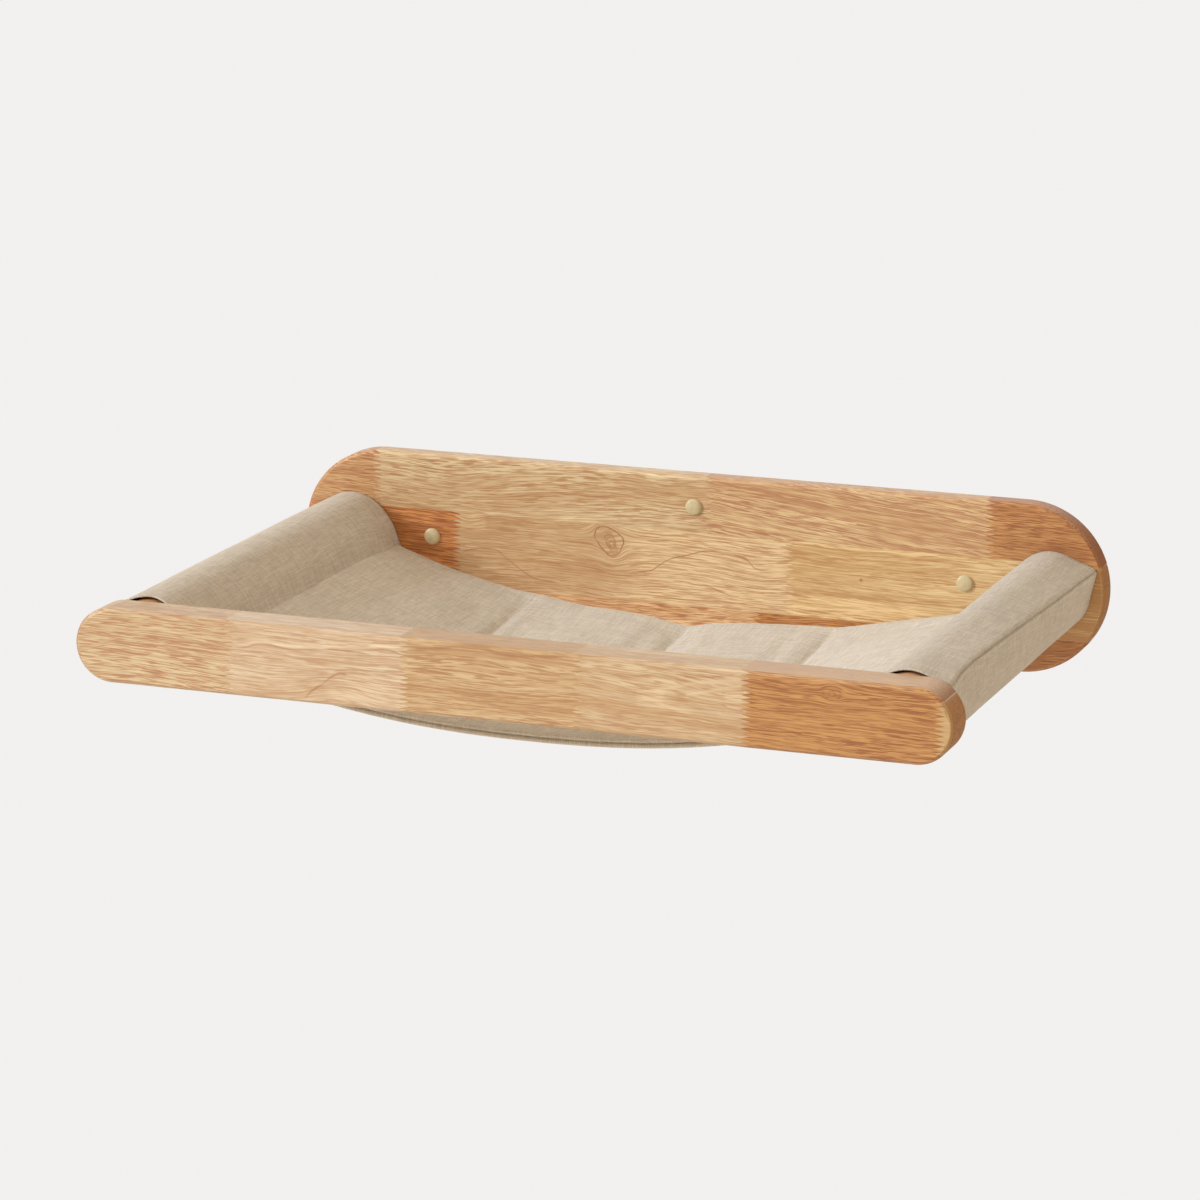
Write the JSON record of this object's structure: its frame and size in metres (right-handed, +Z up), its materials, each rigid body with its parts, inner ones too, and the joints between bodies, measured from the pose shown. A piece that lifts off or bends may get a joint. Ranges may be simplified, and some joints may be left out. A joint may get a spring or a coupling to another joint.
{
  "type": "wall-mounted cat hammock",
  "caption": "Wall shelf hammock for a cat: a tall back board and a low front board of finger-jointed wood, joined by two round rails that carry a quilted fabric bed.",
  "frame": {"origin": "centre of the back board's face that lies on the wall", "axes": "+Y into the wall, so the hammock reaches out along -Y; +X to the right along the boards, +Z up"},
  "size_m": [0.6, 0.394, 0.1218],
  "materials": {
    "pale_wood": "clear satin lacquer",
    "golden_wood": "clear satin lacquer",
    "reddish_wood": "clear satin lacquer",
    "dark_wood": "clear satin lacquer",
    "rail_wood": "clear satin lacquer",
    "dowel_wood": "clear satin lacquer",
    "cap_plastic": "matte",
    "bolt_steel": "zinc plated",
    "insert_brass": "machined",
    "linen": "woven linen",
    "wadding": "soft fibre fill"
  },
  "bodies": {
    "hammock": {"back_board_top_stave_1": "reddish_wood", "back_board_top_stave_2": "pale_wood", "back_board_top_stave_3": "golden_wood", "back_board_top_stave_4": "reddish_wood", "back_board_middle_stave_1": "dark_wood", "back_board_middle_stave_2": "golden_wood", "back_board_middle_stave_3": "pale_wood", "back_board_bottom_stave_1": "golden_wood", "back_board_bottom_stave_2": "reddish_wood", "back_board_bottom_stave_3": "pale_wood", "front_board_stave_1": "golden_wood", "front_board_stave_2": "pale_wood", "front_board_stave_3": "golden_wood", "front_board_stave_4": "pale_wood", "front_board_stave_5": "reddish_wood", "front_board_stave_6": "pale_wood", "left_rail": "rail_wood", "right_rail": "rail_wood", "rail_bolts": "bolt_steel", "rail_threaded_inserts": "insert_brass", "rail_dowels": "dowel_wood", "mat_top_cloth": "linen", "mat_under_cloth": "linen", "left_sleeve": "linen", "right_sleeve": "linen", "mat_wadding": "wadding"},
    "left_cap": {"left_cover_cap": "cap_plastic"},
    "right_cap": {"right_cover_cap": "cap_plastic"},
    "top_cap": {"top_cover_cap": "cap_plastic"}
  },
  "joints": [
    {"name": "left_cap_pull", "type": "slide", "parent": "hammock", "child": "left_cap", "axis": [0, -1, 0], "range_m": [0, 0.005]},
    {"name": "right_cap_pull", "type": "slide", "parent": "hammock", "child": "right_cap", "axis": [0, -1, 0], "range_m": [0, 0.005]},
    {"name": "top_cap_pull", "type": "slide", "parent": "hammock", "child": "top_cap", "axis": [0, -1, 0], "range_m": [0, 0.005]}
  ]
}
